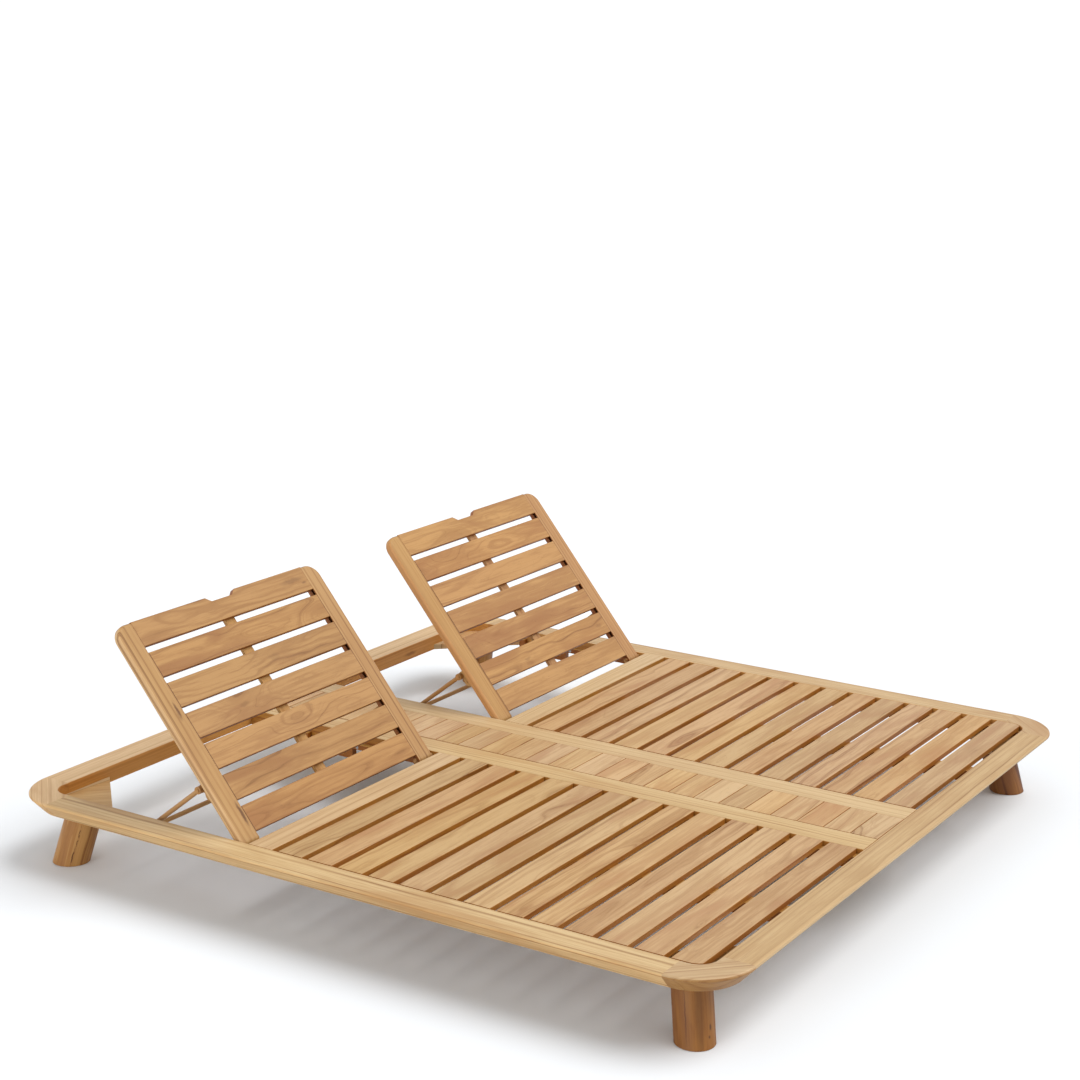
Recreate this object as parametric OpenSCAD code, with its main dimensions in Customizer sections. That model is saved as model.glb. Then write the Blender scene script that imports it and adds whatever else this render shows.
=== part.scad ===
// Double outdoor daybed: two slatted lying places side by side in one low frame of rounded rails,
// with a planked strip between them, splayed round legs and two folding backrests on prop bars.
// X runs across the bed, +Y to the head end, +Z up. The origin is on the floor under the centre.

/* [Frame] */
// Height of the frame's top above the floor
frame_h = 190; // [170:5:260]
// Clear width of each lying place between its rails
bay_w = 790; // [700:10:950]
// Clear width of the planked strip between the two centre rails
strip_w = 163; // [120:1:260]
// Width of the outer rails at their widest
rail_w = 80; // [70:1:100]
// Width of each centre rail
centre_rail_w = 80; // [60:1:110]
// Thickness of every frame rail
rail_t = 44; // [40:1:52]
// Width of the cross rail below each backrest
hinge_rail_w = 70; // [50:1:100]
// Width that the sloping outer side leaves on a rail's underside
rail_foot_w = 46; // [30:1:56]
// Radius of the rounded outer edge of the rails
nose_r = 5.5; // [3:0.5:10]
// Radius of the frame's outer corners
corner_r = 145; // [120:1:200]
// Radius of the opening's inner corners
opening_r = 48; // [20:1:60]
// Radius of the soft edges beside the openings
arris_r = 2.5; // [1:0.5:4]

/* [Seat] */
// Number of slats on each seat
seat_slats = 13; // [9:1:16]
// Width of every slat and board
slat_w = 70; // [69:1:90]
// Gap between slats
slat_gap = 18; // [17:1:24]
// Thickness of the seat slats
slat_t = 14; // [12:1:18]
// Gap between a slat's end and the rail
slat_end_gap = 2; // [1:0.5:4]
// Radius of the slats' long top edges
slat_edge_r = 1.5; // [0.5:0.5:3]
// Width of the cleats that carry the slat ends
cleat_w = 25; // [18:1:35]
// Width of the batten under the middle of each seat
batten_w = 40; // [25:1:60]
// Number of planks along the centre strip
planks = 26; // [18:1:34]
// Gap between the planks
plank_gap = 2; // [1:0.5:5]

/* [Legs] */
// Radius of the round legs
leg_r = 45.5; // [35:0.5:48]
// Tilt of each leg away from the bed's middle, in degrees
leg_tilt = 16.4; // [0:0.1:18]
// Distance of a leg's top centre from the opening's side edge
leg_inset_x = 56.9; // [52:0.1:80]
// Distance of a leg's top centre from the opening's head or foot edge
leg_inset_y = 68.4; // [52:0.1:80]
// Length of the gussets along each rail
gusset_l = 214; // [200:1:218]
// Thickness of the gussets
gusset_t = 16; // [14:1:16]
// Radius of the glide under each leg
glide_r = 20; // [12:1:30]

/* [Backrest] */
// Tilt of the backrests in the photographed position, in degrees
back_tilt = 50; // [45:1:55]
// Number of boards across each backrest
back_boards = 7; // [7:1:8]
// Gap between a backrest's side and the rails
back_side_gap = 3; // [2:0.5:5]
// Gap between the lowered backrest and the head rail
back_end_gap = 5; // [3:1:10]
// Thickness of the backrest's stiles
back_t = 24; // [20:1:24]
// Width of the stiles
stile_w = 60; // [54:1:80]
// Thickness of the backrest's boards
back_board_t = 15; // [14:1:16]
// Radius of the backrest's outer top corners
back_corner_r = 40; // [20:1:50]
// Radius of the stiles' rounded outer edge
stile_edge_r = 8; // [3:1:9]
// Distance from the hinge rail to the backrest's axis
hinge_offset = 30; // [26:1:40]
// Distance from the axis to the lowest board
first_board = 13; // [13:1:20]
// Width of the batten behind the boards
back_batten_w = 36; // [24:1:50]
// Width of the finger notch at its mouth
notch_w = 115; // [100:1:140]
// Depth of the finger notch
notch_d = 14; // [8:1:20]
// Width of the grooves in the stiles
groove_w = 8; // [6:1:8]
// Depth of the grooves in the stiles
groove_d = 10; // [6:1:12]

/* [Prop] */
// Radius of the prop's round bars
prop_r = 6; // [5:0.25:7]
// Distance of the prop's pivot from the backrest's axis, along the stile
pivot_s = 171; // [165:1:180]
// Distance of the prop's pivot behind the backrest's axis
pivot_offset = 46; // [42:1:50]
// Place of the crossbar head-ward of the backrest's axis
bar_y = 315; // [310:1:320]
// Depth of the crossbar's centre below the frame's top
bar_depth = 47; // [46:0.5:50]
// Distance of the prop's arms from the rails
arm_inset = 29; // [27:0.5:34]
// Thickness of the ledges that carry the lowered backrest
rack_t = 18; // [14:0.5:19]
// Depth of the ledges' top below the frame's top
rack_top = 25; // [24.5:0.5:28]
// Thickness of the ledges between the hinge rail and the racks
ledge_t = 14; // [12:1:18]
// Depth of the racks' underside below the frame's top
rack_bottom = 68; // [66:1:80]
// Number of stops along each rack
rack_stops = 5; // [3:1:6]

/* [Fasteners] */
// Radius of the backrests' hinge bolts
hinge_bolt_r = 4; // [3:0.25:5]
// Radius of the prop's pivot pins
pin_r = 3; // [2.5:0.25:3.5]
// Radius of the wood screws' shank
screw_r = 2.5; // [2:0.25:3]
// Radius of the wood screws' head
screw_head_r = 5; // [4:0.25:6]
// Length of the wood screws
screw_l = 36; // [30:1:40]
// Radius of the studs that hold the legs
leg_bolt_r = 5; // [4:0.5:6]

/* [Hidden] */
$fn = 64;

// Finish colours of the woods and metals
TOP_WOOD = "#d9b98a";
SLAT_WOOD = "#d0a578";
BACK_WOOD = "#c3925f";
LEG_WOOD = "#a5703f";
BAR_WOOD = "#b57f4a";
STEEL = "#b9bcc0";
DARK_STEEL = "#4a4038";
GLIDE = "#3b3835";

// Overrun of every cut past the face that it opens
over = 2;
// Radial clearance of a running pin
run_fit = 0.05;
// Gap between parts that move past each other
gap = 0.6;
// Steps in a small rounded edge
arc_steps = 5;

// Plan of the frame, as half sizes from the centre
seat_l = seat_slats * slat_w + (seat_slats + 1) * slat_gap;
back_reach = first_board + back_boards * slat_w + (back_boards - 1) * slat_gap;
inner_l = seat_l + hinge_rail_w + hinge_offset + back_reach + back_end_gap;
half_l = inner_l / 2;
strip_x = strip_w / 2;
bay_x0 = strip_x + centre_rail_w;
bay_x1 = bay_x0 + bay_w;
bay_mid = (bay_x0 + bay_x1) / 2;
half_w = bay_x1;
arc_x = half_w + rail_w - corner_r;
arc_y = half_l + rail_w - corner_r;
seat_end_y = -half_l + seat_l;
hinge_y = seat_end_y + hinge_rail_w + hinge_offset;
hinge_z = frame_h - back_t / 2;

// Outline of the outer rails: flat top, round nose, side sloping in to the underside
nose_dx = rail_foot_w - rail_w + nose_r;
nose_dz = nose_r - rail_t;
bevel = 90 + atan2(nose_dz, nose_dx) + acos(nose_r / norm([nose_dx, nose_dz]));
sharp_w = rail_foot_w + rail_t / tan(bevel);
rail_foot_r = 5;

// Backrest and prop at the photographed tilt
back_w = bay_w - 2 * back_side_gap;
board_l = back_w - 2 * stile_w;
board_n = back_t / 2 - back_board_t;
stile_x = back_w / 2 - stile_w;
groove_lip = 3;
groove_n = back_t / 2 - groove_lip - groove_w;
tongue_l = groove_d - slat_edge_r;
pivot_y = pivot_s * cos(back_tilt) + pivot_offset * sin(back_tilt);
pivot_z = pivot_s * sin(back_tilt) - pivot_offset * cos(back_tilt);
bar_z = back_t / 2 - bar_depth;
arm_l = norm([bar_y - pivot_y, bar_z - pivot_z]);
arm_drop = atan2(pivot_z - bar_z, bar_y - pivot_y);
arm_x = bay_w / 2 - arm_inset;
eye_wall = 3.5;
eye_side = 0.3;
eye_r = prop_r + eye_wall;
eye_half = prop_r + eye_side;
bar_end_gap = 3;

// The racks' recess spans the crossbar's path, from the steepest back to the lowered one
// and the arms turn back by a share of the backrest's own turn
steepest_extra = 10;
prop_share = 0.85;
steep_y = bar_reach(back_tilt + steepest_extra) - prop_r;
path_step = 2.5;
flat_y = max([for (tilt = [0:path_step:back_tilt]) bar_reach(tilt)]) + prop_r;
recess_gap = 1.5;
recess_y0 = steep_y - recess_gap;
recess_y1 = flat_y + recess_gap;
recess_depth = bar_depth + prop_r + gap;
valley_r = prop_r + gap;
rack_shoulder = 20;
rack_y0 = seat_end_y + hinge_rail_w;
rack_y1 = half_l - gusset_l + rack_t;

// Fasteners and their seats
screw_sink = 0.5;
screw_head_l = screw_head_r - screw_r;
cleat_screws = 4;
cleat_screw_gap = 20;
cleat_screw_end = 60;
centre_screws = 8;
centre_screw_inset = 60;
rack_screw_inset = 35;
dowel_r = 4;
dowel_l = 40;
dowel_shares = [0.4, 0.75];
leg_bolt_l = 90;
leg_bolt_wall = 4;
glide_l = 5;
glide_proud = 1;
washer_t = 1.5;
hinge_head_r = 6;
hinge_head_l = 3;
hinge_grip = 32;
pin_head_r = 5.5;
pin_head_l = 2;
bracket_w = 20;
bracket_knob_r = 10;
bracket_lobe_r = 12;
bracket_foot_l = 62;
bracket_lobe_s = 25;
barrel_r = 3.5;
barrel_bolt_r = 3;
barrel_bolt_l = 34;

// Where the crossbar stands along Y when the backrest is at a tilt, with the prop folding in ratio
function bar_reach(tilt) =
    hinge_y + pivot_s * cos(tilt) + pivot_offset * sin(tilt)
    + arm_l * cos(arm_drop - (back_tilt - tilt) * prop_share);

function unit(v) = v / norm(v);

// One corner of an outline, rounded to a radius
function round_corner(a, p, b, r) =
    r == 0 ? [p] :
    let (
        u = unit(a - p),
        v = unit(b - p),
        half = acos(u * v) / 2,
        c = p + unit(u + v) * r / sin(half),
        start = p + u * r / tan(half) - c,
        end = p + v * r / tan(half) - c,
        a0 = atan2(start.y, start.x),
        turn = (atan2(end.y, end.x) - a0 + 540) % 360 - 180
    )
    [for (i = [0:arc_steps]) c + r * [cos(a0 + turn * i / arc_steps), sin(a0 + turn * i / arc_steps)]];

// An outline with each corner rounded to its own radius
function rounded(points, radii) =
    let (n = len(points))
    [for (i = [0:n - 1])
        each round_corner(points[(i + n - 1) % n], points[i], points[(i + 1) % n], radii[i])];

// Copies for the four corners of the bed: children are drawn for the head right corner
module at_corner(side, end) {
    mirror([side < 0 ? 1 : 0, 0, 0])
        mirror([0, end < 0 ? 1 : 0, 0])
            children();
}

// Children are drawn for the right half
module on_side(side) {
    mirror([side < 0 ? 1 : 0, 0, 0])
        children();
}

// Prism along +Y whose outline is given as (x, z)
module along_y(l) {
    rotate([90, 0, 180])
        mirror([1, 0, 0])
            linear_extrude(l)
                children();
}

// Prism along +X whose outline is given as (y, z)
module along_x(l) {
    rotate([90, 0, 90])
        linear_extrude(l)
            children();
}

// Board along X with its top at z = 0 and soft long edges, centred on x
module board(l, w, t) {
    translate([-l / 2, 0, 0])
        along_x(l)
            polygon(rounded([[0, 0], [w, 0], [w, -t], [0, -t]],
                [slat_edge_r, slat_edge_r, slat_edge_r / 2, slat_edge_r / 2]));
}

// Outline of an outer rail, with its inner face at x = 0 and its top at z = 0
module rail_outline() {
    polygon(rounded([[0, 0], [sharp_w, 0], [rail_foot_w, -rail_t], [0, -rail_t]],
        [arris_r, nose_r, rail_foot_r, 0]));
}

// Plan of the opening inside the four outer rails, drawn in by an inset
module opening_plan(inset = 0) {
    x = half_w - inset;
    y = half_l - inset;
    r = opening_r - inset;
    square([2 * (x - r), 2 * y], center = true);
    square([2 * x, 2 * (y - r)], center = true);
    for (sx = [-1, 1], sy = [-1, 1])
        translate([sx * (x - r), sy * (y - r)])
            circle(r);
}

module opening_prism(inset = 0) {
    translate([0, 0, frame_h - rack_bottom - over])
        linear_extrude(rack_bottom + 2 * over)
            opening_plan(inset);
}

// Countersunk wood screw pointing along +X, its head's rim at x = 0
module screw(fit = 0) {
    rotate([0, 90, 0]) {
        cylinder(h = screw_head_l, r1 = screw_head_r + fit, r2 = screw_r + fit);
        cylinder(h = screw_l + fit, r = screw_r + fit);
    }
}

// Seat of a screw: the same form with clearance and a shallow mouth
module screw_seat() {
    screw(run_fit);
    translate([-screw_sink - over, 0, 0])
        rotate([0, 90, 0])
            cylinder(h = screw_sink + over + run_fit, r = screw_head_r + run_fit);
}

// Places of the screws that hold the cleats and racks of the right half, each into its rail
module screw_places() {
    z = frame_h - (slat_t + rail_t) / 2;
    first = gusset_l + cleat_screw_gap;
    pitch = (seat_l - cleat_screw_end - first) / (cleat_screws - 1);
    for (i = [0:cleat_screws - 1]) {
        y = -half_l + first + i * pitch;
        translate([bay_x1 - cleat_w + screw_sink, y, z])
            children();
        translate([bay_x0 + cleat_w - screw_sink, y, z])
            mirror([1, 0, 0])
                children();
    }
    centre_pitch = (inner_l - 2 * centre_screw_inset) / (centre_screws - 1);
    for (i = [0:centre_screws - 1])
        translate([strip_x - cleat_w + screw_sink, -half_l + centre_screw_inset + i * centre_pitch, z])
            children();
    rack_z = frame_h - rack_top - ledge_t / 2;
    for (y = [rack_y0 + rack_screw_inset, (rack_y0 + recess_y0) / 2, recess_y0 - rack_screw_inset]) {
        translate([bay_x1 - rack_t + screw_sink, y, rack_z])
            children();
        translate([bay_x0 + rack_t - screw_sink, y, rack_z])
            mirror([1, 0, 0])
                children();
    }
}

// Dowels that hold the head right gusset to its two rails
module dowel_places() {
    z = frame_h - rail_t + gusset_t / 2;
    for (share = dowel_shares) {
        translate([half_w, half_l - gusset_l * share, z])
            rotate([0, 90, 0])
                children();
        translate([half_w - gusset_l * share, half_l, z])
            rotate([-90, 0, 0])
                children();
    }
}

module dowel(fit = 0) {
    translate([0, 0, -dowel_l / 2 - fit])
        cylinder(h = dowel_l + 2 * fit, r = dowel_r + fit);
}

module all_dowels(fit = 0) {
    for (side = [-1, 1], end = [-1, 1])
        at_corner(side, end)
            dowel_places()
                dowel(fit);
}

// Hinge bolt of one backrest stile along +X, its shank's head end at x = 0
module hinge_bolt(fit = 0) {
    grip = stile_w + back_side_gap + hinge_grip;
    rotate([0, 90, 0])
        cylinder(h = grip + fit, r = hinge_bolt_r + fit);
}

// Places of the two hinge bolts of the right backrest
module hinge_places() {
    for (dir = [-1, 1])
        translate([bay_mid + dir * stile_x, hinge_y, hinge_z])
            mirror([dir < 0 ? 1 : 0, 0, 0])
                children();
}

module side_rail(side) {
    color(TOP_WOOD)
        on_side(side)
            difference() {
                translate([half_w, -arc_y, frame_h])
                    along_y(2 * arc_y)
                        rail_outline();
                all_dowels(run_fit);
                screw_places()
                    screw_seat();
                hinge_places()
                    hinge_bolt(run_fit);
            }
}

module end_rail(end) {
    color(TOP_WOOD)
        mirror([0, end < 0 ? 1 : 0, 0])
            difference() {
                translate([arc_x, half_l, frame_h])
                    rotate([0, 0, 90])
                        along_y(2 * arc_x)
                            rail_outline();
                all_dowels(run_fit);
            }
}

// Cutter for the soft edge round the opening, given as (distance outward, height)
module arris_cutter() {
    polygon(concat([[-over, -arris_r], [-over, over], [arris_r, over]],
        [for (i = [0:arc_steps])
            arris_r * [1 + cos(90 + 90 * i / arc_steps), sin(90 + 90 * i / arc_steps) - 1]]));
}

// Corner block: a quarter turn of the rail's outline, with the opening's round corner cut out
module corner_block(side, end) {
    color(TOP_WOOD)
        at_corner(side, end)
            difference() {
                translate([arc_x, arc_y, frame_h])
                    rotate_extrude(angle = 90)
                        polygon(rounded(
                            [[0, 0], [corner_r - rail_w + sharp_w, 0],
                             [corner_r - rail_w + rail_foot_w, -rail_t], [0, -rail_t]],
                            [0, nose_r, rail_foot_r, 0]));
                opening_prism();
                dowel_places()
                    dowel(run_fit);
                translate([half_w - opening_r, half_l - opening_r, frame_h]) {
                    rotate_extrude(angle = 90)
                        translate([opening_r, 0])
                            arris_cutter();
                    translate([opening_r, -opening_r, 0])
                        along_y(opening_r)
                            arris_cutter();
                    translate([0, opening_r, 0])
                        rotate([0, 0, 90])
                            along_y(opening_r)
                                arris_cutter();
                }
            }
}

module centre_rail(side) {
    color(TOP_WOOD)
        on_side(side)
            difference() {
                translate([strip_x, -half_l, frame_h])
                    along_y(inner_l)
                        polygon(rounded(
                            [[0, 0], [centre_rail_w, 0], [centre_rail_w, -rail_t], [0, -rail_t]],
                            [slat_edge_r, arris_r, 0, 0]));
                screw_places()
                    screw_seat();
                hinge_places()
                    hinge_bolt(run_fit);
            }
}

module hinge_rail(side) {
    color(TOP_WOOD)
        on_side(side)
            translate([bay_mid, seat_end_y, frame_h])
                board(bay_w, hinge_rail_w, rail_t);
}

// Seat slats of one lying place; the last one follows the opening's round corner
module seat_slats(side) {
    color(SLAT_WOOD)
        on_side(side)
            intersection() {
                for (i = [0:seat_slats - 1])
                    translate([bay_mid, -half_l + slat_gap + i * (slat_w + slat_gap), frame_h])
                        board(bay_w - 2 * slat_end_gap, slat_w, slat_t);
                opening_prism(slat_end_gap);
            }
}

module centre_planks() {
    pitch = inner_l / planks;
    color(SLAT_WOOD)
        for (i = [0:planks - 1])
            translate([0, -half_l + i * pitch + plank_gap / 2, frame_h])
                board(strip_w - 2 * slat_edge_r, pitch - plank_gap, slat_t);
}

// Cleat along Y with its lower left corner at the origin
module cleat(l) {
    cube([cleat_w, l, rail_t - slat_t]);
}

module seat_cleats(side) {
    color(BACK_WOOD)
        on_side(side)
            difference() {
                intersection() {
                    for (x = [bay_x0, bay_x1 - cleat_w])
                        translate([x, -half_l, frame_h - rail_t])
                            cleat(seat_l);
                    opening_prism();
                }
                at_corner(1, -1)
                    gusset_prism();
                screw_places()
                    screw_seat();
            }
}

module centre_cleats() {
    color(BACK_WOOD)
        for (side = [-1, 1])
            on_side(side)
                difference() {
                    translate([strip_x - cleat_w, -half_l, frame_h - rail_t])
                        cleat(inner_l);
                    screw_places()
                        screw_seat();
                }
}

module seat_batten(side) {
    color(BACK_WOOD)
        on_side(side)
            translate([bay_mid - batten_w / 2, -half_l, frame_h - rail_t])
                cube([batten_w, seat_l, rail_t - slat_t]);
}

// Triangular gusset in the head right corner, flush with the rails' underside
module gusset_prism() {
    intersection() {
        translate([half_w, half_l, frame_h - rail_t])
            linear_extrude(gusset_t)
                polygon(gusset_l * [[0, 0], [-1, 0], [0, -1]]);
        opening_prism();
    }
}

// Place of a leg's top centre
module leg_place() {
    translate([half_w - leg_inset_x, half_l - leg_inset_y, frame_h - rail_t])
        children();
}

// Stud that joins a leg to its gusset from below, blind in both
module leg_bolt(fit = 0) {
    translate([0, 0, gusset_t - leg_bolt_wall - leg_bolt_l - fit])
        cylinder(h = leg_bolt_l + 2 * fit, r = leg_bolt_r + fit);
}

module gusset(side, end) {
    color(BACK_WOOD)
        at_corner(side, end)
            difference() {
                gusset_prism();
                leg_place()
                    leg_bolt(run_fit);
                dowel_places()
                    dowel(run_fit);
            }
}

// Centre of the glide under the head right leg
leg_h = frame_h - rail_t;
leg_spread = leg_h * tan(leg_tilt) / sqrt(2);

module glide_place() {
    translate([half_w - leg_inset_x + leg_spread, half_l - leg_inset_y + leg_spread, 0])
        children();
}

// Round leg that leans outward along the diagonal, cut level at both ends
module leg(side, end) {
    color(LEG_WOOD)
        at_corner(side, end)
            difference() {
                intersection() {
                    leg_place()
                        rotate([0, 180 - leg_tilt, 45])
                            cylinder(h = 2 * (leg_h + leg_r), r = leg_r, center = true, $fn = 128);
                    translate([0, 0, glide_proud])
                        linear_extrude(leg_h - glide_proud)
                            square(2 * [half_w + rail_w, half_l + rail_w], center = true);
                }
                leg_place()
                    leg_bolt(run_fit);
                glide_place()
                    cylinder(h = glide_l + run_fit, r = glide_r + run_fit);
            }
}

// Ledges on both sides of a bay, with the notched recess for the prop's crossbar
module rack(side) {
    h = rack_bottom - rack_top;
    stop_pitch = (flat_y - steep_y) / rack_stops;
    color(BACK_WOOD)
        on_side(side)
            difference() {
                for (x = [bay_x0, bay_x1 - rack_t]) {
                    translate([x, rack_y0, frame_h - rack_top - ledge_t])
                        cube([rack_t, rack_y1 - rack_y0, ledge_t]);
                    translate([x, recess_y0 - rack_shoulder, frame_h - rack_bottom])
                        cube([rack_t, rack_y1 - recess_y0 + rack_shoulder, h]);
                }
                translate([bay_x0 - over, recess_y0, frame_h - recess_depth])
                    cube([bay_w + 2 * over, recess_y1 - recess_y0, recess_depth]);
                for (i = [0:rack_stops - 1])
                    translate([bay_x0 - over, steep_y + (i + 1 / 2) * stop_pitch, frame_h - recess_depth])
                        rotate([0, 90, 0])
                            cylinder(h = bay_w + 2 * over, r = valley_r);
                translate([half_w, half_l, 0])
                    linear_extrude(frame_h)
                        polygon(gusset_l * [[0, 0], [-1, 0], [0, -1]]);
                screw_places()
                    screw_seat();
            }
}

module leg_bolts() {
    color(STEEL)
        for (side = [-1, 1], end = [-1, 1])
            at_corner(side, end)
                leg_place()
                    leg_bolt();
}

module gusset_dowels() {
    color(LEG_WOOD)
        all_dowels();
}

module wood_screws() {
    color(STEEL)
        for (side = [-1, 1])
            on_side(side)
                screw_places()
                    screw();
}

// Bolts through the stiles into the rails, with a washer and a round head inside each stile
module hinge_bolts() {
    color(STEEL)
        for (side = [-1, 1])
            on_side(side)
                hinge_places() {
                    translate([-gap, 0, 0]) {
                        hinge_bolt();
                        translate([-washer_t, 0, 0])
                            rotate([0, 90, 0])
                                cylinder(h = washer_t, r = hinge_head_r + washer_t);
                        translate([-washer_t - hinge_head_l, 0, 0])
                            rotate([0, 90, 0])
                                cylinder(h = hinge_head_l, r = hinge_head_r, $fn = 6);
                    }
                }
}

module foot_glides() {
    color(GLIDE)
        for (side = [-1, 1], end = [-1, 1])
            at_corner(side, end)
                glide_place()
                    cylinder(h = glide_l, r = glide_r);
}

// Frame of the right backrest: x from its middle, y along the stiles, z out of its front
module back_frame(side) {
    on_side(side)
        translate([bay_mid, hinge_y, hinge_z])
            rotate([back_tilt, 0, 0])
                children();
}

// Plan of the whole backrest with its round outer top corners
module back_plan() {
    translate([-back_w / 2, -back_t])
        polygon(rounded(
            [[0, 0], [back_w, 0], [back_w, back_t + back_reach], [0, back_t + back_reach]],
            [0, 0, back_corner_r, back_corner_r]));
}

// Cutter for a stile's rounded front edge, given as (distance from the corner's centre, z)
module stile_edge_cutter() {
    c = [back_corner_r - stile_edge_r, back_t / 2 - stile_edge_r];
    outer_x = back_corner_r + over;
    outer_z = back_t / 2 + over;
    polygon(concat([[outer_x, c.y], [outer_x, outer_z], [c.x, outer_z]],
        [for (i = [arc_steps:-1:0])
            c + stile_edge_r * [cos(90 * i / arc_steps), sin(90 * i / arc_steps)]]));
}

// The rounded edge runs up a stile's side, round its corner and along its top
module stile_edge_cut() {
    straight_l = back_reach - back_corner_r;
    translate([stile_x + stile_w - back_corner_r, straight_l, 0]) {
        rotate_extrude(angle = 90)
            stile_edge_cutter();
        translate([0, -straight_l, 0])
            along_y(straight_l)
                stile_edge_cutter();
        rotate([0, 0, 90])
            along_y(stile_w - back_corner_r + over)
                stile_edge_cutter();
    }
}

// Stile on the +x side of a backrest frame, before it is mirrored to the other side
module stile_body() {
    difference() {
        intersection() {
            union() {
                translate([stile_x, 0, 0])
                    along_y(back_reach)
                        polygon(rounded(
                            [[0, back_t / 2], [stile_w, back_t / 2], [stile_w, -back_t / 2], [0, -back_t / 2]],
                            [slat_edge_r / 2, 0, 0, slat_edge_r]));
                translate([stile_x, 0, 0])
                    rotate([0, 90, 0])
                        cylinder(h = stile_w, r = back_t / 2);
            }
            translate([0, 0, -back_t])
                linear_extrude(2 * back_t)
                    back_plan();
        }
        for (face = [0, 1])
            mirror([0, 0, face])
                stile_edge_cut();
        translate([stile_x - over, first_board, groove_n])
            cube([groove_d + over, back_reach - first_board - groove_d, groove_w]);
        translate([stile_x - over, 0, 0])
            rotate([0, 90, 0])
                cylinder(h = stile_w + 2 * over, r = hinge_bolt_r + run_fit);
        bracket_places()
            barrel_bolt(run_fit);
    }
}

// dir is 1 for the stile beside the outer rail and -1 for the one beside the centre rail
module stile(side, dir) {
    color(TOP_WOOD)
        back_frame(side)
            mirror([dir < 0 ? 1 : 0, 0, 0])
                stile_body();
}

// Backrest board number i, with a tongue at each end that sits in the stiles' grooves
module back_board(i) {
    y = first_board + i * (slat_w + slat_gap);
    last = i == back_boards - 1;
    difference() {
        union() {
            translate([0, y, back_t / 2])
                board(board_l, slat_w, back_board_t);
            translate([-board_l / 2 - tongue_l, y + slat_edge_r, groove_n])
                cube([board_l + 2 * tongue_l, slat_w - 2 * slat_edge_r - (last ? groove_d : 0), groove_w]);
        }
        batten_screw_place(i)
            screw_seat_up();
    }
}

// The finger notch's flanks run out by a share of its depth, with both ends rounded
notch_flank_share = 1.3;
notch_mouth_r = 3.5;
notch_floor_r = 4.5;

module back_top_rail(side) {
    floor_x = notch_w / 2 - notch_flank_share * notch_d;
    color(BACK_WOOD)
        back_frame(side)
            difference() {
                back_board(back_boards - 1);
                translate([0, back_reach, -back_t])
                    linear_extrude(2 * back_t)
                        polygon(rounded(
                            [[-notch_w / 2 - over, over], [-notch_w / 2, 0], [-floor_x, -notch_d],
                             [floor_x, -notch_d], [notch_w / 2, 0], [notch_w / 2 + over, over]],
                            [0, notch_mouth_r, notch_floor_r, notch_floor_r, notch_mouth_r, 0]));
            }
}

module back_slats(side) {
    color(BACK_WOOD)
        back_frame(side)
            for (i = [1:back_boards - 2])
                back_board(i);
}

module back_bottom_rail(side) {
    color(BACK_WOOD)
        back_frame(side)
            back_board(0);
}

// Batten up the middle behind the boards, flush with the stiles' back
batten_back_t = back_t - back_board_t;

module back_batten(side) {
    color(TOP_WOOD)
        back_frame(side)
            difference() {
                translate([-back_batten_w / 2, first_board + slat_w / 4, -back_t / 2])
                    cube([back_batten_w, back_reach - first_board - slat_w / 2, batten_back_t]);
                for (i = [0:back_boards - 1])
                    batten_screw_place(i)
                        screw_seat_up();
            }
}

// Short screws from the batten's back into each board
batten_screw_l = batten_back_t + back_board_t / 2;

module batten_screw_place(i) {
    translate([0, first_board + slat_w / 2 + i * (slat_w + slat_gap), -back_t / 2 + screw_sink])
        children();
}

module screw_up(fit = 0) {
    cylinder(h = screw_head_l, r1 = screw_head_r + fit, r2 = screw_r + fit);
    cylinder(h = batten_screw_l + fit, r = screw_r + fit);
}

module screw_seat_up() {
    screw_up(run_fit);
    translate([0, 0, -screw_sink - over])
        cylinder(h = screw_sink + over + run_fit, r = screw_head_r + run_fit);
}

module batten_screws(side) {
    color(STEEL)
        back_frame(side)
            for (i = [0:back_boards - 1])
                batten_screw_place(i)
                    screw_up();
}

// Bracket beside each arm on the stiles' back: a foot, a lobe with its bolt and a knob at the pivot
bracket_x = arm_x - eye_half - gap - bracket_w;
bracket_s0 = pivot_s + bracket_knob_r - bracket_foot_l;
lobe_s = pivot_s - bracket_lobe_s;
lobe_n = -back_t / 2 - 2 * bracket_lobe_r;

// Corners of the lobe from its bolt and the rounding of each, as shares of the lobe's radius
lobe_shares = [[-1.6, 0.33, 1], [-0.33, -1, 1], [0.9, -0.5, 0.25]];

module bracket_places() {
    translate([bracket_x, 0, 0])
        children();
}

// Bracket's outline as (s, n)
module bracket_outline() {
    base = -back_t / 2;
    lobe = [for (c = lobe_shares) [lobe_s + bracket_lobe_r * c.x, lobe_n + bracket_lobe_r * c.y]];
    lobe_r = [for (c = lobe_shares) bracket_lobe_r * c.z];
    difference() {
        polygon(rounded(
            concat([[bracket_s0, base]], lobe,
                [[pivot_s, -pivot_offset], [pivot_s + bracket_knob_r, -pivot_offset], [pivot_s + bracket_knob_r, base]]),
            concat([0], lobe_r, [0, 0, 0])));
        translate([pivot_s, -pivot_offset])
            circle(pin_r + run_fit);
    }
    difference() {
        translate([pivot_s, -pivot_offset])
            circle(bracket_knob_r);
        translate([pivot_s, -pivot_offset])
            circle(pin_r + run_fit);
    }
}

module prop_brackets(side) {
    color(BAR_WOOD)
        back_frame(side)
            for (dir = [-1, 1])
                mirror([dir < 0 ? 1 : 0, 0, 0])
                    bracket_places()
                        difference() {
                            along_x(bracket_w)
                                bracket_outline();
                            barrel_bolt(run_fit);
                        }
}

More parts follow.
